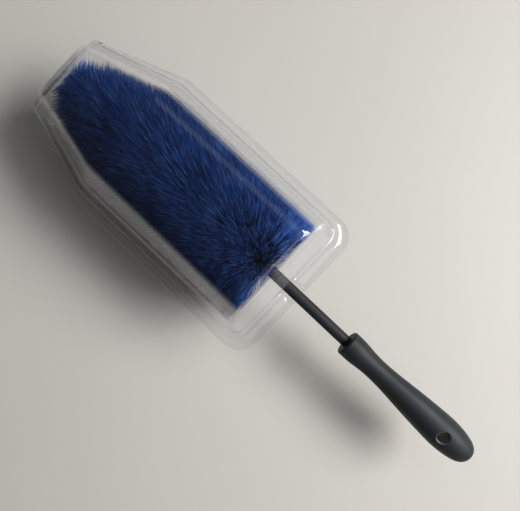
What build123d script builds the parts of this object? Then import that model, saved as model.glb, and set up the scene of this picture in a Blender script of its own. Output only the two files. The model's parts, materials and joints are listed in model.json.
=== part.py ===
"""Wheel brush lying in its clear folding cover.

Millimetres.  The brush axis runs along +X from the bristle tip to the handle, +Y is across, +Z is up.
The origin is the centre of the whole object's footprint, on the surface it lies on.
"""

import os
from math import cos, radians, sin, tan

from build123d import *

# Cover: two shells of thin clear sheet that meet at the brush axis and fold along the tip edge
SHEET = 0.6
COVER_HEIGHT = 104.0
FLANGE_GAP = 0.3
WALL_DRAFT = 21.0
END_DRAFT = 8.0
TIP_FOOT = 5.5
SHOULDER_FOOT = 79.0
BASE_FOOT = 238.5
TIP_HALF_WIDTH = 33.5
SHOULDER_HALF_WIDTH = 57.0
BASE_HALF_WIDTH = 58.5
TIP_ROOF = 31.0
ROOF_EDGE_RADIUS = 17.0
TIP_EDGE_RADIUS = 9.0
END_EDGE_RADIUS = 7.0
# The roof is lofted a hair too high and skimmed level, so that the cover lies on a true plane
ROOF_SKIM = 0.05

# Low step around the cavity, deepest at the handle end where the shaft passes under it
STEP_HEIGHT = 8.0
STEP_MARGIN = 1.5
STEP_END = 248.0
STEP_CORNER = 12.0

# Flat rim that the two shells share
RIM_START = 0.9
RIM_END = 262.0
RIM_TIP_HALF = 37.0
RIM_SHOULDER_HALF = 66.0
RIM_BASE_HALF = 68.5
RIM_CORNER = 18.0
SHAFT_NOTCH_RADIUS = 5.6
FOLD_RADIUS = 0.35

# Brush head
BRISTLE_TIP = 9.5
BRISTLE_TIP_RADIUS = 14.0
TAPER_DIRECTION = (1, 0.33)
BRISTLE_SHOULDER = 90.0
BRISTLE_END = 229.0
BRISTLE_RADIUS = 50.0
BRISTLE_CORNER = 8.0
BRISTLE_BORE = 3.5

# Twisted wire stem
WIRE_RADIUS = 1.35
TWIST_RADIUS = 1.75
TWIST_PITCH = 24.0
STEPS_PER_TURN = 6
WIRE_START = 10.0
WIRE_END = 373.0
WIRE_ROOM = 1.0

# Rubber cap over the wire tip
CAP_START = 6.5
CAP_END = 20.0
CAP_RADIUS = 5.0

# Black sleeve over the bare part of the stem
SLEEVE_START = 229.5
SLEEVE_END = 344.0
SLEEVE_RADIUS = 4.65
SLEEVE_BORE = 3.4

# Handle: hard core inside a soft grip
HANDLE_START = 314.0
HANDLE_END = 448.0
FRONT_RADIUS = 10.8
FRONT_EDGE = 1.6
WAIST_RADIUS = 9.1
BULGE_RADIUS = 13.2
WAIST_AT = 36.0
BULGE_AT = 92.0
CORE_START = 3.0
CORE_END = 92.0
CORE_RADIUS = 6.9
CORE_FLANGE_RADIUS = 7.6
HOLE_AT = 103.0
HOLE_RADIUS = 5.0
HOLE_EDGE = 0.8
# The handle is turned a little on the shaft, so the hole leans away from upright
HOLE_LEAN = 18.0

# Crimped ferrule that anchors the wires in the core
ANCHOR_LENGTH = 16.0
ANCHOR_RADIUS = 4.6

AXIS_Z = COVER_HEIGHT / 2
FOLD_X = -(HANDLE_END - FOLD_RADIUS) / 2
PART_LINE = AXIS_Z + FLANGE_GAP / 2
ROOF_HEIGHT = AXIS_Z - FLANGE_GAP / 2


def at(station):
    """The frame's X of a station measured from the fold line."""
    return FOLD_X + station


def cross_plane(station, height=AXIS_Z):
    """A plane across the brush at a station, with its own x along +Y and its own y along +Z."""
    return Plane(origin=(at(station), 0, height), x_dir=(0, 1, 0), z_dir=(1, 0, 0))


def side_plane():
    """The upright plane through the brush axis, with its own origin on the fold line."""
    return Plane(origin=(FOLD_X, 0, AXIS_Z), x_dir=(1, 0, 0), z_dir=(0, -1, 0))


def arch(station, half_width, height, edge_radius, inset):
    """One cross section of the cavity: sloping walls, rounded into a flat roof."""
    foot = half_width - inset / cos(radians(WALL_DRAFT))
    rise = height - inset
    top = foot - rise * tan(radians(WALL_DRAFT))
    with BuildSketch(cross_plane(station, PART_LINE)) as section:
        with BuildLine():
            FilletPolyline((-foot, 0), (-top, rise), (top, rise), (foot, 0), radius=edge_radius - inset)
            Line((foot, 0), (-foot, 0))
        make_face()
    return section.sketch


def cavity(inset):
    """The room around the bristles, with its end walls drafted, its end edges rounded and its roof skimmed level."""
    slope = tan(radians(END_DRAFT))
    roof_slope = (ROOF_HEIGHT - TIP_ROOF) / (SHOULDER_FOOT - TIP_FOOT)
    spare = 6.0
    tip_half = TIP_HALF_WIDTH - spare * (SHOULDER_HALF_WIDTH - TIP_HALF_WIDTH) / (SHOULDER_FOOT - TIP_FOOT)
    tip_roof = TIP_ROOF - spare * roof_slope
    with BuildPart() as room:
        loft([
            arch(TIP_FOOT - spare, tip_half, tip_roof, TIP_EDGE_RADIUS, inset),
            arch(SHOULDER_FOOT, SHOULDER_HALF_WIDTH, ROOF_HEIGHT + ROOF_SKIM, ROOF_EDGE_RADIUS, inset),
            arch(BASE_FOOT + spare, BASE_HALF_WIDTH, ROOF_HEIGHT + ROOF_SKIM, ROOF_EDGE_RADIUS, inset),
        ], ruled=True)
        tip_x = at(TIP_FOOT + inset)
        end_x = at(BASE_FOOT - inset)
        split(bisect_by=Plane(origin=(tip_x, 0, PART_LINE), z_dir=(1, 0, -slope)), keep=Keep.TOP)
        split(bisect_by=Plane(origin=(end_x, 0, PART_LINE), z_dir=(1, 0, slope)), keep=Keep.BOTTOM)
        for end_face in (room.faces().sort_by(Axis.X)[-1], room.faces().sort_by(Axis.X)[0]):
            rim = end_face.edges().sort_by(Axis.Z)[1:]
            fillet(rim, END_EDGE_RADIUS - inset)
        split(bisect_by=Plane.XY.offset(PART_LINE + ROOF_HEIGHT - inset), keep=Keep.BOTTOM)
    return room.part


def step_outline(inset):
    """The plan of the low step, tapered towards the tip."""
    margin = STEP_MARGIN - inset
    tip = at(TIP_FOOT - margin)
    shoulder = at(SHOULDER_FOOT)
    end = at(STEP_END - inset)
    tip_half = TIP_HALF_WIDTH + margin
    shoulder_half = SHOULDER_HALF_WIDTH + margin
    base_half = BASE_HALF_WIDTH + margin
    with BuildSketch(Plane.XY.offset(PART_LINE)) as plan:
        with BuildLine():
            Polyline((tip, -tip_half), (shoulder, -shoulder_half), (end, -base_half), (end, base_half),
                     (shoulder, shoulder_half), (tip, tip_half), close=True)
        make_face()
        fillet(plan.vertices().group_by(Axis.X)[-1], STEP_CORNER - inset)
        fillet(plan.vertices().group_by(Axis.X)[0], END_EDGE_RADIUS - inset)
    return plan.sketch


def rim_outline():
    """The plan of the flat rim: square at the fold, rounded at the handle end."""
    with BuildSketch(Plane.XY.offset(PART_LINE)) as plan:
        with BuildLine():
            Polyline((at(RIM_START), -RIM_TIP_HALF), (at(SHOULDER_FOOT), -RIM_SHOULDER_HALF),
                     (at(RIM_END), -RIM_BASE_HALF), (at(RIM_END), RIM_BASE_HALF),
                     (at(SHOULDER_FOOT), RIM_SHOULDER_HALF), (at(RIM_START), RIM_TIP_HALF), close=True)
        make_face()
        fillet(plan.vertices().group_by(Axis.X)[-1], RIM_CORNER)
    return plan.sketch


# Upper shell: cavity, step and rim of one sheet, hollow underneath, notched for the shaft
with BuildPart() as cover_upper_shell:
    extrude(rim_outline(), amount=SHEET)
    extrude(step_outline(0), amount=STEP_HEIGHT)
    add(cavity(0))
    extrude(step_outline(SHEET), amount=STEP_HEIGHT - SHEET, mode=Mode.SUBTRACT)
    add(cavity(SHEET), mode=Mode.SUBTRACT)
    with BuildSketch(cross_plane(BASE_FOOT + 2)):
        Circle(SHAFT_NOTCH_RADIUS)
    extrude(amount=RIM_END - BASE_FOOT, mode=Mode.SUBTRACT)

# Lower shell: the same pressing turned over
with BuildPart() as cover_lower_shell:
    add(mirror(cover_upper_shell.part, about=Plane.XY.offset(AXIS_Z), mode=Mode.PRIVATE))

# Fold: the creased strip of sheet that joins the two rims along the tip edge
with BuildPart() as cover_fold:
    with BuildSketch(Plane(origin=(FOLD_X, -RIM_TIP_HALF + 0.5, AXIS_Z), x_dir=(1, 0, 0), z_dir=(0, 1, 0))):
        Circle(FOLD_RADIUS)
    extrude(amount=2 * RIM_TIP_HALF - 1)

# Bristles: the outer shape of the pile, with the stem's bore through it
with BuildPart() as bristles:
    with BuildSketch(side_plane()):
        with BuildLine():
            tip_line = Line((BRISTLE_TIP, CAP_RADIUS + 0.1), (BRISTLE_TIP, BRISTLE_TIP_RADIUS))
            dome = Spline(tip_line @ 1, (14, 23), (26, 31), tangents=((0.15, 1), TAPER_DIRECTION))
            taper = Line(dome @ 1, (78, 48.2))
            shoulder = Spline(taper @ 1, (BRISTLE_SHOULDER, BRISTLE_RADIUS), tangents=(TAPER_DIRECTION, (1, 0)))
            barrel = Line(shoulder @ 1, (BRISTLE_END - BRISTLE_CORNER, BRISTLE_RADIUS))
            corner = RadiusArc(barrel @ 1, (BRISTLE_END, BRISTLE_RADIUS - BRISTLE_CORNER), BRISTLE_CORNER)
            Polyline(corner @ 1, (BRISTLE_END, BRISTLE_BORE), (CAP_END + 0.1, BRISTLE_BORE),
                     (CAP_END + 0.1, CAP_RADIUS + 0.1), tip_line @ 0)
        make_face()
    revolve(axis=Axis((FOLD_X, 0, AXIS_Z), (1, 0, 0)))


def twisted_wire(start_angle):
    """One strand of the stem: a wire wound about the axis in short straight steps."""
    turns = (WIRE_END - WIRE_START) / TWIST_PITCH
    count = round(turns * STEPS_PER_TURN)
    stations = [WIRE_START + (WIRE_END - WIRE_START) * i / count for i in range(count + 1)]
    angles = [start_angle + 360 * i / STEPS_PER_TURN for i in range(count + 1)]
    places = [Vector(TWIST_RADIUS, 0).rotate(Axis.Z, angle) for angle in angles]
    points = [(at(s), p.X, AXIS_Z + p.Y) for s, p in zip(stations, places)]
    with BuildPart() as wire:
        with BuildLine() as path:
            Polyline(*points)
        with BuildSketch(Plane(origin=path.line @ 0, z_dir=path.line % 0)):
            Circle(WIRE_RADIUS)
        sweep(path=path.line, transition=Transition.RIGHT)
    return wire


stem_wire_a = twisted_wire(0)
stem_wire_b = twisted_wire(180)

# Tip cap: round-nosed rubber cap over the wire ends
with BuildPart() as tip_cap:
    with BuildSketch(cross_plane(CAP_START)):
        Circle(CAP_RADIUS)
    extrude(amount=CAP_END - CAP_START)
    fillet(tip_cap.faces().sort_by(Axis.X)[0].edges(), CAP_RADIUS * 0.8)
    with BuildSketch(cross_plane(WIRE_START - WIRE_ROOM)):
        Circle(BRISTLE_BORE)
    extrude(amount=CAP_END - WIRE_START + WIRE_ROOM, mode=Mode.SUBTRACT)

# Sleeve: black tube over the stem, from the bristles into the handle
with BuildPart() as stem_sleeve:
    with BuildSketch(cross_plane(SLEEVE_START)):
        Circle(SLEEVE_RADIUS)
        Circle(SLEEVE_BORE, mode=Mode.SUBTRACT)
    extrude(amount=SLEEVE_END - SLEEVE_START)

# Anchor: ferrule crimped on the two wires, held in the handle core
with BuildPart() as stem_anchor:
    with BuildSketch(cross_plane(SLEEVE_END)):
        Circle(ANCHOR_RADIUS)
        Circle(SLEEVE_BORE, mode=Mode.SUBTRACT)
    extrude(amount=ANCHOR_LENGTH)

# Handle core: hard rod inside the grip, bored for the sleeve, the anchor and the wire tails
with BuildPart() as core_body:
    with BuildSketch(cross_plane(HANDLE_START + CORE_START)):
        Circle(CORE_RADIUS)
    extrude(amount=CORE_END - CORE_START)
    with BuildSketch(cross_plane(HANDLE_START + CORE_START)):
        Circle(CORE_FLANGE_RADIUS)
    extrude(amount=4)
    fillet(core_body.faces().sort_by(Axis.X)[-1].edges(), 2)

with BuildPart() as handle_core:
    add(core_body.part)
    with BuildSketch(cross_plane(HANDLE_START)):
        Circle(SLEEVE_RADIUS)
    extrude(amount=SLEEVE_END + ANCHOR_LENGTH - HANDLE_START, mode=Mode.SUBTRACT)
    with BuildSketch(cross_plane(SLEEVE_END)):
        Circle(SLEEVE_BORE)
    extrude(amount=WIRE_END + WIRE_ROOM - SLEEVE_END, mode=Mode.SUBTRACT)

# Grip: soft turned shape with a round waist, a palm swell, a domed end and a hole to hang it by
with BuildPart() as handle_grip:
    with BuildSketch(side_plane()):
        with BuildLine():
            start, end = HANDLE_START, HANDLE_END
            face = Line((start, 0), (start, FRONT_RADIUS - FRONT_EDGE))
            edge = RadiusArc(face @ 1, (start + FRONT_EDGE, FRONT_RADIUS), FRONT_EDGE)
            neck = Line(edge @ 1, (start + 7, FRONT_RADIUS))
            swell = Spline(neck @ 1, (start + 22, 9.5), (start + WAIST_AT, WAIST_RADIUS), (start + 66, 11.3),
                           (start + BULGE_AT, BULGE_RADIUS), (end - 13, 12.0),
                           tangents=((1, 0), (1, -0.2)))
            dome_end = Spline(swell @ 1, (end - 3.4, 8.2), (end, 0), tangents=((1, -0.2), (0, -1)))
            Line(dome_end @ 1, face @ 0)
        make_face()
    revolve(axis=Axis((FOLD_X, 0, AXIS_Z), (1, 0, 0)))
    add(core_body.part, mode=Mode.SUBTRACT)
    with BuildSketch(cross_plane(HANDLE_START)):
        Circle(SLEEVE_RADIUS)
    extrude(amount=CORE_START, mode=Mode.SUBTRACT)
    lean = radians(HOLE_LEAN)
    with BuildSketch(Plane(origin=(at(HANDLE_START + HOLE_AT), 0, AXIS_Z), x_dir=(1, 0, 0),
                           z_dir=(0, -sin(lean), cos(lean)))):
        Circle(HOLE_RADIUS)
    extrude(amount=BULGE_RADIUS * 2, both=True, mode=Mode.SUBTRACT)
    hole_wall = handle_grip.faces().filter_by(GeomType.CYLINDER).sort_by(Axis.X)[-1]
    fillet(hole_wall.edges().filter_by(GeomType.LINE, reverse=True), HOLE_EDGE)

pieces = {
    "cover_lower_shell": cover_lower_shell,
    "cover_upper_shell": cover_upper_shell,
    "cover_fold": cover_fold,
    "bristles": bristles,
    "stem_wire_a": stem_wire_a,
    "stem_wire_b": stem_wire_b,
    "tip_cap": tip_cap,
    "stem_sleeve": stem_sleeve,
    "stem_anchor": stem_anchor,
    "handle_core": handle_core,
    "handle_grip": handle_grip,
}

os.makedirs("parts", exist_ok=True)
for name, piece in pieces.items():
    piece.part.label = name
    export_step(piece.part, f"parts/{name}.step")
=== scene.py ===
# %% [markdown]
# # A wheel brush in its clear folding cover
# The frame holds the measured model: the two shells of the cover, the fold between them, the bristle pile as one
# plain solid, the stem with its sleeve, and the handle. This script keeps every place and size from that frame,
# gives each piece its finish, and swaps three plain solids for finer meshes: thousands of filaments for the pile,
# and two softly rounded pressings of thin sheet for the shells.

# %% Load the frame
import json
from math import cos, pi, radians, sin, sqrt, tan

import bpy
import bmesh
import numpy as np
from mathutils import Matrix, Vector


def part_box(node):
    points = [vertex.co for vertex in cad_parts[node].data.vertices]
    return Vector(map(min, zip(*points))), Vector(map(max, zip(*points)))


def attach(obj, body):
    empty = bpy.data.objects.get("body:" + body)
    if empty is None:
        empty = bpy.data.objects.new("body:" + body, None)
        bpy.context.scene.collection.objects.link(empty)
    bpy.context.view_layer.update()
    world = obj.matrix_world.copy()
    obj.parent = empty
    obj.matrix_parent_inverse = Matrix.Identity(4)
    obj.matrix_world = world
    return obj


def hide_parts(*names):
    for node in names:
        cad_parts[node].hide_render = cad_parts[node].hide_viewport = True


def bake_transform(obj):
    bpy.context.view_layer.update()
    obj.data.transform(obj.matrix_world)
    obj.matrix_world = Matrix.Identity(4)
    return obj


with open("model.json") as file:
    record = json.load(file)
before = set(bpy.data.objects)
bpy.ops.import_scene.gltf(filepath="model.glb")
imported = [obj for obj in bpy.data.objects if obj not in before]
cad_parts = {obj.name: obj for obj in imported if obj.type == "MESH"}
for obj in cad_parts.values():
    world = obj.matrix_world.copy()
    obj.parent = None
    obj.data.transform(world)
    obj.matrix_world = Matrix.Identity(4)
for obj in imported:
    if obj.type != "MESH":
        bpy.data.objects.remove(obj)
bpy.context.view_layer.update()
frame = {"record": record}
MM = 0.001

# %% [markdown]
# The whole object is described along its own length, from the fold at the tip to the end of the handle. Two numbers
# from the frame fix that ruler: where the fold is, and how high the brush axis lies.

# %% Find the ruler
fold_low, fold_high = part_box("cover_fold")
FOLD_X = (fold_low[0] + fold_high[0]) / 2
AXIS_Z = (fold_low[2] + fold_high[2]) / 2


def at(station):
    """The frame's x of a station given in millimetres from the fold."""
    return FOLD_X + station * MM


print("fold at x =", round(FOLD_X, 4), "axis at z =", round(AXIS_Z, 4))

# %% [markdown]
# Shader maths is easier to read as ordinary expressions. `Wire` wraps one socket of a material's node tree, so
# `0.4 + 0.1 * grain` builds the Math nodes for us. Colours and vectors go through Mix and Vector Math nodes, because
# a Math node would turn a colour grey. `Finish` is one material, and its `node` method adds any other node.

# %% Shader helpers


class Wire:
    """One socket of a material, with the operators that the finishes below use."""

    def __init__(self, finish, socket):
        self.finish = finish
        self.socket = socket

    def _join(self, first, second, operation):
        if self.socket.type == "VALUE":
            return self.finish.node("ShaderNodeMath", {"operation": operation}, {0: first, 1: second})
        return self.finish.node("ShaderNodeVectorMath", {"operation": operation}, {0: first, 1: second})

    def __add__(self, other):
        return self._join(self, other, "ADD")

    def __radd__(self, other):
        return self._join(other, self, "ADD")

    def __sub__(self, other):
        return self._join(self, other, "SUBTRACT")

    def __rsub__(self, other):
        return self._join(other, self, "SUBTRACT")

    def __mul__(self, other):
        return self._join(self, other, "MULTIPLY")

    def __rmul__(self, other):
        return self._join(other, self, "MULTIPLY")

    def blend(self, low, high):
        """A colour that runs from low to high as this value runs from 0 to 1."""
        return self.finish.node("ShaderNodeMix", {"data_type": "RGBA"}, {0: self, 6: low, 7: high}, output=2)

    def between(self, low, high):
        """This value moved so that low becomes 0 and high becomes 1, and held there outside."""
        return self.finish.node("ShaderNodeMapRange", {"clamp": True},
                                {"Value": self, "From Min": low, "From Max": high})


class Finish:
    """One material, built node by node."""

    def __init__(self, name):
        self.material = bpy.data.materials.new(name)
        self.material.use_nodes = True
        self.tree = self.material.node_tree
        self.tree.nodes.clear()

    def node(self, kind, settings=None, inputs=None, output=0):
        """Adds a node: its settings first, then the value or the link of each socket."""
        made = self.tree.nodes.new(kind)
        for key, value in (settings or {}).items():
            setattr(made, key, value)
        for key, value in (inputs or {}).items():
            if isinstance(value, Wire):
                self.tree.links.new(value.socket, made.inputs[key])
            else:
                made.inputs[key].default_value = value
        return Wire(self, made.outputs[output]) if len(made.outputs) else made

    def place(self):
        """The point being shaded, in the object's own metres."""
        return self.node("ShaderNodeTexCoord", output=3)

    def noise(self, scale, detail=2.0, stretch=(1, 1, 1)):
        """Soft random grain with so many lumps to the metre, squeezed along an axis by stretch."""
        return self.node("ShaderNodeTexNoise", {"noise_dimensions": "3D"},
                         {"Vector": self.place() * stretch, "Scale": scale, "Detail": detail})

    def bump(self, height, depth, strength=1.0):
        """A surface normal that follows a height, with depth in metres."""
        return self.node("ShaderNodeBump", None, {"Height": height, "Distance": depth, "Strength": strength})

    def skin(self, **sockets):
        """A Principled surface, with socket names written with underscores."""
        named = {key.replace("_", " "): value for key, value in sockets.items()}
        return self.node("ShaderNodeBsdfPrincipled", None, named)

    def surface(self, shader):
        """Shows a shader and gives back the finished material."""
        self.node("ShaderNodeOutputMaterial", None, {"Surface": shader})
        return self.material


print("helpers ready")

# %% [markdown]
# The camera looks straight down from a little over forty centimetres, with the brush lying corner to corner. The
# point right below the lens is a bit off the middle of the frame. A small lens shift does that without tilting the
# camera, so upright walls keep leaning away from that point and the floor stays square to the lens.

# %% Camera
CAMERA_HEIGHT = 417.0
VIEW_WIDTH = 416.0
SENSOR_WIDTH = 36.0
ACROSS = Vector((0.728, 0.686, 0.0)).normalized()
UPWARD = Vector((-ACROSS.y, ACROSS.x, 0.0))
MIDDLE_STATION, MIDDLE_SIDE = 216.1, 2.8
NADIR_RIGHT, NADIR_DOWN = -32.0, 23.0

middle = Vector((at(MIDDLE_STATION), MIDDLE_SIDE * MM, AXIS_Z))
lens_point = middle + (ACROSS * NADIR_RIGHT - UPWARD * NADIR_DOWN) * MM
camera_data = bpy.data.cameras.new("camera")
camera_data.sensor_width = SENSOR_WIDTH
camera_data.lens = SENSOR_WIDTH * CAMERA_HEIGHT / VIEW_WIDTH
camera_data.shift_x = -NADIR_RIGHT / VIEW_WIDTH
camera_data.shift_y = NADIR_DOWN / VIEW_WIDTH
camera = bpy.data.objects.new("camera", camera_data)
bpy.context.scene.collection.objects.link(camera)
camera.location = lens_point + Vector((0, 0, CAMERA_HEIGHT * MM))
scene = bpy.context.scene
turn = np.arctan2(ACROSS.y, ACROSS.x)
camera.rotation_euler = (0.0, 0.0, float(turn))
scene.camera = camera
print("camera at", [round(v, 3) for v in camera.location])

# %% [markdown]
# The floor is a pale desk top, matt and slightly warm. One large soft light stands low on the handle side, as a
# window would, and throws long soft shadows. The sky is weak, so the shadows stay deep.

# %% Floor and light
paper = Finish("pale_floor")
cloud = paper.noise(3.0, 3.0)
grain = paper.noise(900.0, 2.0)
paper_colour = cloud.blend((0.55, 0.53, 0.50, 1), (0.60, 0.585, 0.555, 1))
paper_skin = paper.skin(Base_Color=paper_colour, Roughness=0.6, Normal=paper.bump(grain, 0.0001, 0.25))
bpy.ops.mesh.primitive_plane_add(size=6.0, location=(0, 0, 0))
floor = bpy.context.object
floor.name = "floor"
floor.data.materials.append(paper.surface(paper_skin))

TARGET = Vector((0.0, 0.0, AXIS_Z))


def soft_light(name, direction, elevation, distance, size, power, tint):
    """A square lamp that stands in a direction across the floor, raised by an angle, and faces the object."""
    heading = Vector(direction).normalized()
    offset = Vector((heading.x * cos(elevation), heading.y * cos(elevation), sin(elevation)))
    data = bpy.data.lights.new(name, "AREA")
    data.shape = "RECTANGLE"
    data.size, data.size_y = size
    data.energy = power
    data.color = tint
    lamp = bpy.data.objects.new(name, data)
    scene.collection.objects.link(lamp)
    lamp.location = TARGET + offset * distance
    lamp.rotation_euler = (-offset).to_track_quat("-Z", "Y").to_euler()
    return lamp


soft_light("window", ACROSS + UPWARD * 0.04, radians(41), 2.2, (1.4, 0.8), 65.0, (1.0, 0.985, 0.965))
soft_light("bright_wall", (0, 1, 0), radians(62), 1.5, (1.8, 0.6), 2.2, (0.75, 0.87, 1.0))
soft_light("handle_side_window", (1, 0.05, 0), radians(52), 1.5, (0.7, 1.0), 3.2, (1.0, 1.0, 1.0))
world = bpy.data.worlds.new("room")
world.use_nodes = True
world.node_tree.nodes["Background"].inputs["Color"].default_value = (1.0, 0.90, 0.74, 1)
world.node_tree.nodes["Background"].inputs["Strength"].default_value = 0.055
scene.world = world
scene.view_settings.view_transform = "Standard"
print("lights ready")

# %% [markdown]
# ## The clear cover
# Each shell is one sheet drawn over a mould: a flat rim, a low step, sloping walls that round over into a flat roof,
# and a roof that falls towards the tip. A height map over a grid would leave stairs on walls this steep. So the mesh
# is laid out as closed rings that follow the outline, from the rim inwards and upwards, and its lines lie along the
# real edges.

# %% Outline of one ring
SHEET = 0.5
NOTCH_HALF = 5.6
SHOULDER = 79.0
TIP_FOOT, BASE_FOOT = 5.5, 238.5
TIP_HALF, SHOULDER_HALF, BASE_HALF = 33.5, 57.0, 58.5
SIDE_LEAN, END_LEAN = 21, 8
STEP_HEIGHT, STEP_END = 8.0, 248.0
RIM_END = 262.0
RIM_GAP = 0.15
ROOF, TIP_ROOF = 51.85, 31.0
TAPER = (SHOULDER_HALF - TIP_HALF) / (SHOULDER - TIP_FOOT)


def straight(start, end, count):
    """Evenly spaced points from start up to, but not at, end."""
    return [(start[0] + (end[0] - start[0]) * k / count, start[1] + (end[1] - start[1]) * k / count)
            for k in range(count)]


def rounded(before, corner, after, radius, count):
    """Points round a corner of the outline, and the points where the rounding starts and stops."""
    corner = Vector(corner)
    into, out = (corner - Vector(before)).normalized(), (Vector(after) - corner).normalized()
    turn_angle = into.angle(out)
    reach = radius * tan(turn_angle / 2)
    start, stop = corner - into * reach, corner + out * reach
    centre = start + Vector((into.y, -into.x)) * radius
    spoke = start - centre
    points = [centre + Vector((spoke.x * cos(a) + spoke.y * sin(a), spoke.y * cos(a) - spoke.x * sin(a)))
              for a in (turn_angle * k / count for k in range(count))]
    return start, [tuple(p) for p in points], stop


def half_ring(tip, tip_half, shoulder_half, end, end_half, tip_round, end_round):
    """One side of a ring, from the middle of the tip edge to the middle of the handle edge."""
    corners = [(tip, 0.0), (tip, tip_half), (SHOULDER, shoulder_half), (end, end_half), (end, 0.0)]
    tip_in, tip_arc, tip_out = rounded(*corners[0:3], tip_round, 8)
    mid_in, mid_arc, mid_out = rounded(*corners[1:4], 24.0, 8)
    end_in, end_arc, end_out = rounded(*corners[2:5], end_round, 12)
    return (straight(corners[0], tip_in, 6) + tip_arc + straight(tip_out, mid_in, 14) + mid_arc
            + straight(mid_out, end_in, 26) + end_arc + straight(end_out, (end, NOTCH_HALF), 9)
            + straight((end, NOTCH_HALF), corners[4], 6) + [corners[4]])


CORNER_STARTS = (6, 14, 62, 74)
rim_half = half_ring(0.9, 37.0, 66.0, RIM_END, 68.5, 1.0, 18.0)
print("points on one side of a ring:", len(rim_half))

# %% [markdown]
# Above the step every wall has the same section: a straight slope, then an arc into the roof. The side walls lean by
# 21 degrees and the end walls by 8, and the roof is lower at the tip. One function gives that section, and each
# corner runs smoothly from one section into the other.

# %% Section of a wall
STRAIGHT_LEVELS, ARC_LEVELS = 5, 9


def wall_section(level, lean, radius, height):
    """How far in and how high a wall is at a level, for a lean in degrees and a roof height."""
    lean = radians(lean)
    tangent = radius * tan((pi / 2 - lean) / 2)
    arc_start = (height * tan(lean) - tangent * sin(lean), height - tangent * cos(lean))
    if level <= STRAIGHT_LEVELS:
        rise = STEP_HEIGHT + (arc_start[1] - STEP_HEIGHT) * level / STRAIGHT_LEVELS
        return rise * tan(lean), rise
    angle = (pi - lean) + (pi / 2 - pi + lean) * (level - STRAIGHT_LEVELS) / ARC_LEVELS
    centre = (height * tan(lean) + tangent, height - radius)
    return centre[0] + radius * cos(angle), centre[1] + radius * sin(angle)


def roof_over(station):
    """The roof's height over the rim at a station, with the crease at the shoulder rounded."""
    low = TIP_ROOF + (station - TIP_FOOT) * (ROOF - TIP_ROOF) / (SHOULDER - TIP_FOOT)
    near = max(6.0 - abs(low - ROOF), 0.0) / 6.0
    return min(low, ROOF) - near * near * 1.5


def cavity_ring(level, inward=0.0):
    """A ring of the cavity: its points on one side, and their heights."""
    tip_in, tip_rise = wall_section(level, END_LEAN, 8, TIP_ROOF)
    end_in, end_rise = wall_section(level, END_LEAN, 7, ROOF)
    tip, end = TIP_FOOT + tip_in + inward, BASE_FOOT - end_in - inward
    side_tip = wall_section(level, SIDE_LEAN, 10, roof_over(tip))[0]
    side_full = wall_section(level, SIDE_LEAN, 17, ROOF)[0]
    grow = level / (STRAIGHT_LEVELS + ARC_LEVELS)
    plan = half_ring(tip, TIP_HALF + (tip - TIP_FOOT) * TAPER - side_tip - inward,
                     SHOULDER_HALF - side_full - inward, end, BASE_HALF - side_full - inward,
                     4.0 + 3.0 * grow, 5.0 + 1.5 * grow)
    heights = []
    for i, (station, side) in enumerate(plan):
        radius = 10 + 7 * min(max((station - TIP_FOOT) / (SHOULDER - TIP_FOOT), 0), 1)
        side_rise = wall_section(level, SIDE_LEAN, radius, roof_over(station))[1]
        if i < CORNER_STARTS[1]:
            share = min(max((i - CORNER_STARTS[0]) / 8, 0), 1)
            end_wall = tip_rise
        else:
            share = 1 - min(max((i - CORNER_STARTS[2]) / 12, 0), 1)
            end_wall = end_rise
        share = share * share * (3 - 2 * share)
        heights.append(end_wall + (side_rise - end_wall) * share)
    return plan, heights


side_section = [wall_section(n, SIDE_LEAN, 17, ROOF) for n in (0, 5, 10, 14)]
print("side wall section:", [tuple(round(v, 1) for v in point) for point in side_section])

# %% [markdown]
# The rim and the step come first: the rim is flat, the step stands up from it almost straight, and its top runs in to
# the foot of the wall. At the handle end the step is deeper and has an arched mouth for the shaft, and the rim is
# slotted there, so the rings lift over the shaft and the slotted faces are left out.

# %% All the rings of one shell
rings = [(rim_half, [0.0] * len(rim_half))]
for margin, rise in ((3.0, 0.0), (0.7, 0.05), (0.15, 0.5), (0.0, 1.3), (-0.2, STEP_HEIGHT - 1.0),
                     (-0.5, STEP_HEIGHT - 0.25), (-1.2, STEP_HEIGHT)):
    step = half_ring(4.0 - min(margin, 2.2), 35.0 + margin, 58.5 + margin, STEP_END + margin, 60.0 + margin,
                     6.0 + min(margin, 1.0), 12.0 + margin)
    rings.append((step, [rise] * len(step)))
STEP_RINGS = len(rings)
SLOTTED_RINGS = 3
foot_plan = cavity_ring(0, -0.6)[0]
rings.append((foot_plan, [STEP_HEIGHT] * len(foot_plan)))
for level in range(STRAIGHT_LEVELS + ARC_LEVELS + 1):
    plan, heights = cavity_ring(level)
    if level == 0:
        heights = [h + 0.25 for h in heights]
    rings.append((plan, heights))
rings.append(cavity_ring(STRAIGHT_LEVELS + ARC_LEVELS, 1.5))


def over_shaft(side, rise):
    """Lifts the step's lower rings over the arched mouth for the shaft."""
    if abs(side) >= NOTCH_HALF or rise > STEP_HEIGHT - 0.5:
        return rise
    arch = sqrt(NOTCH_HALF ** 2 - side ** 2)
    return arch + rise * (STEP_HEIGHT - 1.0 - arch) / (STEP_HEIGHT - 1.0)


def outer_face(rise, up):
    """The height of a shell's outer face, so that the two rims lie on each other and the roofs keep their place."""
    return AXIS_Z + up * (rise + RIM_GAP + SHEET * (1 - rise / ROOF)) * MM


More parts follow.
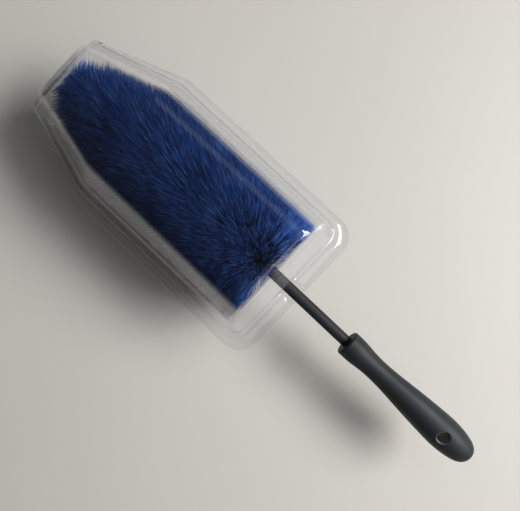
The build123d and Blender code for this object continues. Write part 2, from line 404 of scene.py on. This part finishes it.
def shell_mesh(name, up):
    """One shell as a sheet, up for the lid and down for the base, with its thickness on the inside."""
    mesh = bmesh.new()
    rows = []
    for number, (plan, heights) in enumerate(rings):
        row = []
        loop = list(zip(plan, heights))
        loop += [((x, -y), h) for (x, y), h in reversed(loop[1:-1])]
        for (station, side), rise in loop:
            if 0 < number < STEP_RINGS and station > BASE_FOOT:
                rise = over_shaft(side, rise)
            row.append(mesh.verts.new((at(station), side * MM, outer_face(rise, up))))
        rows.append(row)
    count, half = len(rows[0]), len(rim_half)
    for number, (outer, inner) in enumerate(zip(rows, rows[1:])):
        for i in range(count):
            k = (i + 1) % count
            in_slot = half - 7 <= i <= half + 4
            if number < SLOTTED_RINGS and in_slot:
                continue
            corners = (outer[i], outer[k], inner[k], inner[i])
            mesh.faces.new(corners if up < 0 else corners[::-1])
    roof = rows[-1]
    # The roof is closed by strips across it, with one flat face along each straight edge
    across = [[roof[i], roof[i + 1], roof[count - i - 1], roof[count - i]]
              for i in range(CORNER_STARTS[0], CORNER_STARTS[3])]
    across.append(roof[:CORNER_STARTS[0] + 1] + roof[count - CORNER_STARTS[0]:])
    across.append(roof[CORNER_STARTS[3]:count - CORNER_STARTS[3] + 1])
    for corners in across:
        mesh.faces.new(corners if up < 0 else corners[::-1])
    for face in mesh.faces:
        face.smooth = True
    data = bpy.data.meshes.new(name)
    mesh.normal_update()
    mesh.to_mesh(data)
    mesh.free()
    shell = bpy.data.objects.new(name, data)
    scene.collection.objects.link(shell)
    thickness = shell.modifiers.new("sheet", "SOLIDIFY")
    thickness.thickness = SHEET * MM
    thickness.offset = -1.0
    return shell


base_shell = shell_mesh("clear_base_shell", -1)
lid_shell = shell_mesh("clear_lid_shell", 1)
print("faces in a shell:", len(lid_shell.data.polygons))

# %% [markdown]
# Clear sheet shows itself only by what it mirrors. A mix between a clear and a mirror shader does that: the mirror's
# share rises steeply where the sheet is seen edge-on. A glass shader would bend light twice in a thin sheet and
# leave the pile dark, and the usual Fresnel node goes solid on the sheet's inner face, so the share is worked out
# from how much the surface faces the eye. A little milky haze stands for scuffs.

# %% Clear sheet
sheet = Finish("clear_sheet_finish")
facing = sheet.node("ShaderNodeLayerWeight", None, {"Blend": 0.5}, output=1)
edge_on = sheet.node("ShaderNodeMath", {"operation": "POWER"}, {0: facing, 1: 4.2})
mirror_share = 0.024 + 0.976 * edge_on
ripple = sheet.noise(35.0, 2.0)
scuff = sheet.noise(420.0, 3.0).between(0.55, 0.8)
mirror = sheet.node("ShaderNodeBsdfGlossy", None, {
    "Color": (1, 1, 1, 1), "Roughness": 0.05 + 0.06 * scuff, "Normal": sheet.bump(ripple, 0.0012, 0.35)})
clear = sheet.node("ShaderNodeBsdfTransparent", None, {"Color": (0.99, 0.992, 0.994, 1)})
haze = sheet.skin(Base_Color=(0.8, 0.84, 0.88, 1), Roughness=0.5)
body = sheet.node("ShaderNodeMixShader", None, {0: 0.001 + 0.006 * scuff, 1: clear, 2: haze})
clear_finish = sheet.surface(sheet.node("ShaderNodeMixShader", None, {0: mirror_share, 1: body, 2: mirror}))
scene.cycles.transparent_max_bounces = 32
for shell, carrier, node in ((base_shell, "cover_base", "cover_lower_shell"),
                             (lid_shell, "cover_lid", "cover_upper_shell")):
    shell.data.materials.append(clear_finish)
    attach(shell, carrier)
    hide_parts(node)
print("clear sheet on both shells")

# %% [markdown]
# Light that enters a clear sheet runs inside it and comes out where the sheet is cut or sharply bent. These bright
# hairlines are what makes a clear cover readable. Each is a hair-thin bead along a ring that is already there: the
# cut edge of the rim, the foot of the step and its upper bend. The beads' whitish colour is painted light for that
# glow.

# %% Bright edges of the sheet
edge = Finish("sheet_edge_painted_light")
edge_break = edge.noise(120.0, 3.0).between(0.35, 0.65)
# The beads' whitish colour is painted light: the glow that leaves the sheet at its cut edges and bends.
painted_edge_skin = edge.skin(Base_Color=(0.86, 0.9, 0.92, 1), Roughness=0.25)
edge_clear = edge.node("ShaderNodeBsdfTransparent")
painted_edge_light = edge.surface(edge.node("ShaderNodeMixShader", None,
                                     {0: 0.06 + 0.26 * edge_break, 1: edge_clear, 2: painted_edge_skin}))


def edge_bead(name, ring_number, up, carrier, lift, radius=0.16):
    """A bead of painted light along one ring of a shell, left open across the slot for the shaft."""
    plan, heights = rings[ring_number]
    loop = list(zip(plan, heights))[:-6]
    loop = [((x, -y), h) for (x, y), h in reversed(loop[1:])] + loop
    mesh = bmesh.new()
    rows = []
    for (station, side), rise in loop:
        middle_z = outer_face(rise, up) + up * lift * MM
        outward = Vector((station - 150.0, side * 3.0)).normalized()
        row = []
        for k in range(6):
            swing = pi * k / 3
            shift = outward * radius * cos(swing)
            row.append(mesh.verts.new((at(station + shift.x), (side + shift.y) * MM,
                                       middle_z + radius * sin(swing) * MM)))
        rows.append(row)
    for left, right in zip(rows, rows[1:]):
        for k in range(6):
            mesh.faces.new((left[k], left[(k + 1) % 6], right[(k + 1) % 6], right[k])).smooth = True
    mesh.faces.new(rows[0][::-1])
    mesh.faces.new(rows[-1])
    bmesh.ops.recalc_face_normals(mesh, faces=mesh.faces)
    data = bpy.data.meshes.new(name)
    mesh.to_mesh(data)
    mesh.free()
    data.materials.append(painted_edge_light)
    bead = bpy.data.objects.new(name, data)
    scene.collection.objects.link(bead)
    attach(bead, carrier)


for name, up, carrier in (("base", -1, "cover_base"), ("lid", 1, "cover_lid")):
    edge_bead(name + "_rim_edge", 0, up, carrier, -0.25)
    edge_bead(name + "_step_foot", 3, up, carrier, 0.0)
    edge_bead(name + "_step_bend", 6, up, carrier, 0.0)
print("edge beads on both shells")

# %% [markdown]
# The two shells are one sheet, folded along the tip edge. The fold is a narrow band of the same clear sheet,
# laid along that edge where the frame's fold was.

# %% Fold
fold_profile = [(2.4, 0.72), (1.2, 0.7), (0.45, 0.55), (0.12, 0.3), (0.0, 0.0),
                (0.12, -0.3), (0.45, -0.55), (1.2, -0.7), (2.4, -0.72)]
fold_mesh = bmesh.new()
fold_rows = []
for k in range(25):
    side = (-36.2 + 72.4 * k / 24) * MM
    fold_rows.append([fold_mesh.verts.new((at(s), side, AXIS_Z + z * MM)) for s, z in fold_profile])
for left, right in zip(fold_rows, fold_rows[1:]):
    for i in range(len(fold_profile) - 1):
        fold_mesh.faces.new((left[i], left[i + 1], right[i + 1], right[i])).smooth = True
fold_data = bpy.data.meshes.new("cover_hinge_band")
fold_mesh.to_mesh(fold_data)
fold_mesh.free()
fold_band = bpy.data.objects.new("cover_hinge_band", fold_data)
scene.collection.objects.link(fold_band)
band_sheet = fold_band.modifiers.new("sheet", "SOLIDIFY")
band_sheet.thickness, band_sheet.offset = 0.2 * MM, -1.0
fold_data.materials.append(clear_finish)
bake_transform(fold_band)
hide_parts("cover_fold")
print("fold band", len(fold_data.polygons), "faces")

# %% [markdown]
# ## The bristle pile
# The pile is tens of thousands of plastic filaments, gripped by the twisted wire and combed forward by the cover: in
# the barrel each one leans about 45 degrees towards the tip. A solid with a bristle texture has a hard outline, and
# Blender's own hair would not reach the exported model. So each filament is a thin three-sided tapered tube, built
# for all of them at once with arrays of numbers.

# %% Shape of the pile
rng = np.random.default_rng(7)
OUTLINE_S = np.array([9.0, 9.0, 10.4, 14.0, 19.0, 26.0, 78.0, 84.0, 92.0, 150.0, 222.0, 230.0, 232.5])
OUTLINE_R = np.array([6.0, 14.0, 19.5, 23.6, 27.6, 31.4, 49.6, 51.6, 52.6, 53.0, 53.0, 53.0, 50.5])
outline_steps = np.hypot(np.diff(OUTLINE_S), np.diff(OUTLINE_R))
outline_run = np.concatenate(([0.0], np.cumsum(outline_steps)))
ROOT_OF = (np.array([9.5, 30.0, 80.0, 150.0, 200.0, 232.5]), np.array([17.0, 49.0, 121.0, 189.0, 215.0, 222.5]))


# The room inside the sheet: its height and half width at the tip and past the shoulder, and how fast each grows
INSIDE_ROOF, INSIDE_TIP_ROOF, ROOF_SLOPE = 51.3, 30.4, 0.2864
INSIDE_HALF, INSIDE_TIP_HALF, SIDE_SLOPE, BARREL_SLOPE = 56.4, 32.86, 0.3197, 0.0094
# The rounding between the roof and the end wall at the handle
END_ARC_START, END_ARC_LEVEL, END_ARC_ROOM = 225.1, 44.8, 6.1


def room_radius(station, angle, clearance=0.4):
    """The greatest radius that the closed cover leaves at a station, in a direction round the stem."""
    sloping = INSIDE_TIP_ROOF + ROOF_SLOPE * (station - TIP_FOOT)
    crease = (6.0 - np.abs(sloping - INSIDE_ROOF)).clip(0) / 6.0
    end_arc = np.sqrt((END_ARC_ROOM ** 2 - (station - END_ARC_START).clip(0) ** 2).clip(0))
    roof = np.minimum(INSIDE_ROOF, sloping) - 1.5 * crease ** 2 - clearance
    roof = np.minimum(roof, END_ARC_LEVEL + end_arc)
    barrel_half = INSIDE_HALF + BARREL_SLOPE * (station - SHOULDER).clip(0)
    foot = np.minimum(barrel_half, INSIDE_TIP_HALF + SIDE_SLOPE * (station - TIP_FOOT)) - clearance
    up, across = np.abs(np.sin(angle)), np.abs(np.cos(angle))
    lean = radians(SIDE_LEAN)
    return np.minimum(roof / np.maximum(up, 1e-3), foot * cos(lean) / (across * cos(lean) + up * sin(lean)))


def spread_filaments(count):
    """Where each filament ends: its station, its radius and its direction, in loose tufts."""
    fine = np.linspace(0, outline_run[-1], 2000)
    radius = np.interp(fine, outline_run, OUTLINE_R)
    share = np.cumsum(radius)
    tufts = count // 8
    along = np.interp(rng.random(tufts), share / share[-1], fine)
    round_stem = rng.random(tufts) * 2 * pi
    pull = rng.normal(0, 1, (tufts, 3))
    tuft = rng.integers(0, tufts, count)
    run = along[tuft] + rng.normal(0, 2.4, count)
    run = np.abs(run)
    run = np.where(run > outline_run[-1], 2 * outline_run[-1] - run, run)
    angle = round_stem[tuft] + rng.normal(0, 0.045, count)
    station = np.interp(run, outline_run, OUTLINE_S)
    radius = np.interp(run, outline_run, OUTLINE_R)
    toward = pull[tuft]
    station = station + 0.9 * toward[:, 0] + rng.normal(0, 0.9, count)
    ragged = np.interp(station, (12, 30, 40), (2.4, 1.3, 0.6))
    radius = radius + ragged * (0.8 * toward[:, 1] + rng.normal(0, 1.0, count)) - 0.4
    angle = angle + 0.018 * toward[:, 2]
    return tuft, station, radius, angle


tuft, end_station, end_radius, end_angle = spread_filaments(66000)
print("filaments:", len(tuft), "outline length:", round(float(outline_run[-1])), "mm")

# %% Filament paths
STEPS = np.array([0.0, 0.36, 0.72, 1.0])


def filament_paths(station, radius, angle, start_share):
    """Points along each filament, from its root to its end, kept inside the closed cover."""
    root = np.interp(station, *ROOT_OF) + rng.normal(0, 1.3, len(station))
    t = start_share[:, None] + (1 - start_share[:, None]) * STEPS[None, :]
    x = root[:, None] + (station - root)[:, None] * t ** 1.15
    wander = rng.normal(0, 0.035, len(station))
    phi = angle[:, None] + wander[:, None] * (1 - t)
    r = 2.6 + (radius[:, None] - 2.6) * t
    slope = tan(radians(END_LEAN))
    height = r * np.abs(np.sin(phi))
    x = np.clip(x, 6.3 + slope * height, 237.6 - slope * height)
    r = np.minimum(r, room_radius(x, phi) - rng.random(len(station))[:, None] * 0.5)
    points = np.stack([FOLD_X / MM + x, r * np.cos(phi), AXIS_Z / MM + r * np.sin(phi)], axis=2)
    return points * MM


thinned = (end_station < 26) & (rng.random(len(tuft)) < 0.45)
tuft, end_station, end_radius, end_angle = (values[~thinned] for values in (tuft, end_station, end_radius, end_angle))
near_end = (end_station < 34) | (end_station > 212)
start_share = np.where(near_end | (rng.random(len(tuft)) < 0.12), 0.02, 0.42)
paths = filament_paths(end_station, end_radius, end_angle, start_share)
lean_mid = np.degrees(np.arctan2(*(np.abs(paths[:, -1, 0] - paths[:, 0, 0]), end_radius * MM * (1 - start_share))))
print("middle lean:", round(float(np.median(lean_mid))), "degrees")

# %% [markdown]
# The filaments are not all the same blue: dye and sheen differ a little from tuft to tuft, and the light catches
# some of them. Six plain shades of one finish, dealt out by tuft, show that at any distance, and they keep the
# exported model light, because a plain shade needs no baked image.

# %% Shades of the filaments
SHADES = [("deep", (0.002, 0.008, 0.050)), ("ink", (0.003, 0.015, 0.090)), ("navy", (0.005, 0.026, 0.150)),
          ("royal", (0.008, 0.044, 0.240)), ("bright", (0.018, 0.090, 0.400)), ("pale", (0.100, 0.230, 0.600))]


def filament_finish(name, colour):
    """Glossy dyed plastic with a soft blue sheen along its edges."""
    finish = Finish("filament_" + name)
    skin = finish.skin(Base_Color=(*colour, 1), Roughness=0.42, Specular_IOR_Level=0.35,
                       Specular_Tint=(0.45, 0.7, 1.0, 1))
    return finish.surface(skin)


shade_finishes = [filament_finish(name, colour) for name, colour in SHADES]
tuft_shade = rng.normal(2.3, 0.6, tuft.max() + 1)
# Filaments that end right at the tip are dealt brighter shades: a painted glint.
tip_glint = np.where(end_station < 17, 1.3, 0.0)
shade = np.clip(np.rint(tuft_shade[tuft] + tip_glint + rng.normal(0, 1.0, len(tuft))), 0, 5).astype(int)
print("filaments in each shade:", np.bincount(shade, minlength=6).tolist())

# %% Tubes for all the filaments


def filament_piece(name, chosen):
    """One mesh with a three-sided tapered tube along each chosen path, with painted shade at the root and painted
    light at the end.
    """
    lines = paths[chosen]
    count = len(lines)
    along = np.gradient(lines, axis=1)
    along /= np.linalg.norm(along, axis=2, keepdims=True)
    helper = np.array([0.31, 0.43, 0.85])
    side = np.cross(along, helper)
    side /= np.linalg.norm(side, axis=2, keepdims=True)
    up = np.cross(along, side)
    thick = np.array([0.18, 0.175, 0.15])[None, :, None] * MM * rng.uniform(0.8, 1.15, count)[:, None, None]
    rounds = [lines[:, :3] + thick * (cos(a) * side[:, :3] + sin(a) * up[:, :3]) for a in (0, 2 * pi / 3, 4 * pi / 3)]
    rounds = np.stack(rounds, axis=2)
    verts = np.concatenate([rounds.reshape(count, 9, 3), lines[:, 3:4]], axis=1)
    quads = [(k * 3 + i, k * 3 + (i + 1) % 3, k * 3 + 3 + (i + 1) % 3, k * 3 + 3 + i)
             for k in range(2) for i in range(3)]
    tips = [(6 + i, 6 + (i + 1) % 3, 9) for i in range(3)]
    loop_pattern = np.array([v for face in quads + tips for v in face])
    sizes = np.array([4] * 6 + [3] * 3)
    loops = (loop_pattern[None, :] + 10 * np.arange(count)[:, None]).ravel()
    starts = np.concatenate(([0], np.cumsum(np.tile(sizes, count))[:-1]))
    data = bpy.data.meshes.new(name)
    data.vertices.add(count * 10)
    data.vertices.foreach_set("co", verts.astype(np.float32).ravel())
    data.loops.add(len(loops))
    data.loops.foreach_set("vertex_index", loops.astype(np.int32))
    data.polygons.add(len(starts))
    data.polygons.foreach_set("loop_start", starts.astype(np.int32))
    for finish in shade_finishes:
        data.materials.append(finish)
    # Each filament's root part takes the next darker shade, a painted shade deep in the pile, and its end the next
    # brighter one, a painted light on the tips.
    lower = np.maximum(shade[chosen] - 1, 0)
    upper = np.minimum(shade[chosen] + 1, 5)
    slots = np.stack([lower] * 3 + [shade[chosen]] * 3 + [upper] * 3, axis=1).ravel()
    data.polygons.foreach_set("material_index", slots.astype(np.int32))
    data.polygons.foreach_set("use_smooth", np.ones(len(starts), dtype=bool))
    data.update(calc_edges=True)
    piece = bpy.data.objects.new(name, data)
    scene.collection.objects.link(piece)
    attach(piece, "brush")
    return piece


BANDS = [("tip", 0, 40), ("tip_slope", 40, 66), ("taper", 66, 92), ("barrel_front", 92, 126),
         ("barrel_middle", 126, 160), ("barrel_back", 160, 194), ("base", 194, 300)]
pile = [filament_piece("bristles_" + name, (end_station >= low) & (end_station < high)) for name, low, high in BANDS]
print("faces per band:", [len(piece.data.polygons) for piece in pile])

# %% [markdown]
# Near the stem the real filaments are packed so close that no light comes back. A dark fuzzy core, a good deal
# slimmer than the pile, stands for that imported part, and it is never seen as a surface of its own. Its dark
# blues are painted shade.

# %% Packed core
core_mesh = bmesh.new()
core_rows = []
core_stations = np.linspace(24.0, 224.0, 60)
for station in core_stations:
    reach = float(np.interp(station, OUTLINE_S[2:], OUTLINE_R[2:])) * 0.55
    reach *= min(1.0, 0.25 + (station - 24.0) / 26.0, 0.3 + (224.0 - station) / 12.0)
    row = []
    for k in range(48):
        angle = 2 * pi * k / 48
        fuzz = reach * (1 + 0.05 * float(rng.normal()))
        row.append(core_mesh.verts.new((at(station), fuzz * cos(angle) * MM, AXIS_Z + fuzz * sin(angle) * MM)))
    core_rows.append(row)
for left, right in zip(core_rows, core_rows[1:]):
    for k in range(48):
        core_mesh.faces.new((left[k], left[(k + 1) % 48], right[(k + 1) % 48], right[k]))
core_mesh.faces.new(core_rows[0])
core_mesh.faces.new(core_rows[-1][::-1])
core_data = bpy.data.meshes.new("bristles_packed_core")
core_mesh.to_mesh(core_data)
core_mesh.free()
packed_core = bpy.data.objects.new("bristles_packed_core", core_data)
scene.collection.objects.link(packed_core)
core_finish = Finish("packed_filaments")
streak = core_finish.noise(260.0, 3.0, (1, 4, 4))
core_data.materials.append(core_finish.surface(core_finish.skin(
    Base_Color=streak.blend((0.004, 0.007, 0.03, 1), (0.012, 0.022, 0.085, 1)), Roughness=0.8,
    Normal=core_finish.bump(streak, 0.002))))
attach(packed_core, "brush")
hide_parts("bristles")
print("core faces:", len(core_data.polygons))

# %% [markdown]
# ## Stem and handle
# These parts are hard, so the frame's own meshes stay and only get their finishes. The grip is soft charcoal
# rubber: matt, with a fine moulded grain and faint lighter rubs. The wall of its hang hole is painted light grey,
# a painted light on the lit wall inside the hole.

# %% Grip and sleeve


def dress(node, material):
    """Gives a carried-over part its finish."""
    part = bpy.data.objects[node]
    part.data.materials.clear()
    part.data.materials.append(material)


grip = Finish("grip_rubber_finish")
grip_grain = grip.noise(2600.0, 2.0)
grip_cloud = grip.noise(60.0, 3.0)
rub = grip.noise(25.0, 4.0, (1, 3, 3)).between(0.52, 0.75)
hole = next(mount for mount in frame["record"]["mounts"] if mount["name"] == "hang_hole")
from_hole = grip.place() - tuple(hole["pos_m"])
along_hole = grip.node("ShaderNodeVectorMath", {"operation": "PROJECT"}, {0: from_hole, 1: tuple(hole["axis"])})
off_axis = grip.node("ShaderNodeVectorMath", {"operation": "LENGTH"}, {0: from_hole - along_hole}, output=1)
# Inside the hang hole the grip is painted light grey: a painted light on the hole's wall.
hole_wall_painted_light = 1.0 - off_axis.between(0.0052, 0.0056)
grip_rubs_and_hole_light = rub.blend((0.020, 0.0245, 0.0285, 1), (0.030, 0.035, 0.040, 1))
grip_rubs_and_hole_light = hole_wall_painted_light.blend(grip_rubs_and_hole_light, (0.16, 0.17, 0.175, 1))
dress("handle_grip", grip.surface(grip.skin(
    Base_Color=grip_rubs_and_hole_light, Roughness=0.44 + 0.12 * grip_cloud, Specular_IOR_Level=0.22,
    Normal=grip.bump(grip_grain, 0.00008, 0.5))))

sleeve = Finish("sleeve_vinyl_finish")
draw = sleeve.noise(300.0, 2.0, (0.1, 1, 1))
dress("stem_sleeve", sleeve.surface(sleeve.skin(
    Base_Color=draw.blend((0.014, 0.015, 0.018, 1), (0.024, 0.026, 0.030, 1)), Specular_IOR_Level=0.25,
    Roughness=0.48 + 0.14 * draw, Normal=sleeve.bump(draw, 0.0001, 0.4))))
print("grip and sleeve dressed")

# %% [markdown]
# The parts inside are seldom seen: the galvanised wires of the stem, the rubber cap that guards their tip, the
# ferrule that anchors them and the handle's hard core. They still get real finishes, for views at the ends.

# %% Wires, cap, ferrule and core
wire = Finish("stem_wire_finish")
zinc = wire.noise(800.0, 3.0)
wire_skin = wire.surface(wire.skin(Base_Color=zinc.blend((0.42, 0.43, 0.45, 1), (0.62, 0.63, 0.65, 1)), Metallic=1.0,
                                   Roughness=0.28 + 0.2 * zinc, Normal=wire.bump(zinc, 0.00005, 0.4)))
dress("stem_wire_a", wire_skin)
dress("stem_wire_b", wire_skin)
dress("stem_anchor", wire_skin)

cap = Finish("tip_cap_finish")
cap_grain = cap.noise(1500.0, 2.0)
dress("tip_cap", cap.surface(cap.skin(Base_Color=cap_grain.blend((0.012, 0.012, 0.014, 1), (0.02, 0.02, 0.023, 1)),
                                      Roughness=0.5 + 0.15 * cap_grain, Normal=cap.bump(cap_grain, 0.00008))))

hard = Finish("handle_core_finish")
flow = hard.noise(90.0, 3.0)
dress("handle_core", hard.surface(hard.skin(Base_Color=flow.blend((0.03, 0.03, 0.034, 1), (0.045, 0.045, 0.05, 1)),
                                            Roughness=0.35 + 0.1 * flow, Normal=hard.bump(flow, 0.0001, 0.3))))
print("inner parts dressed")
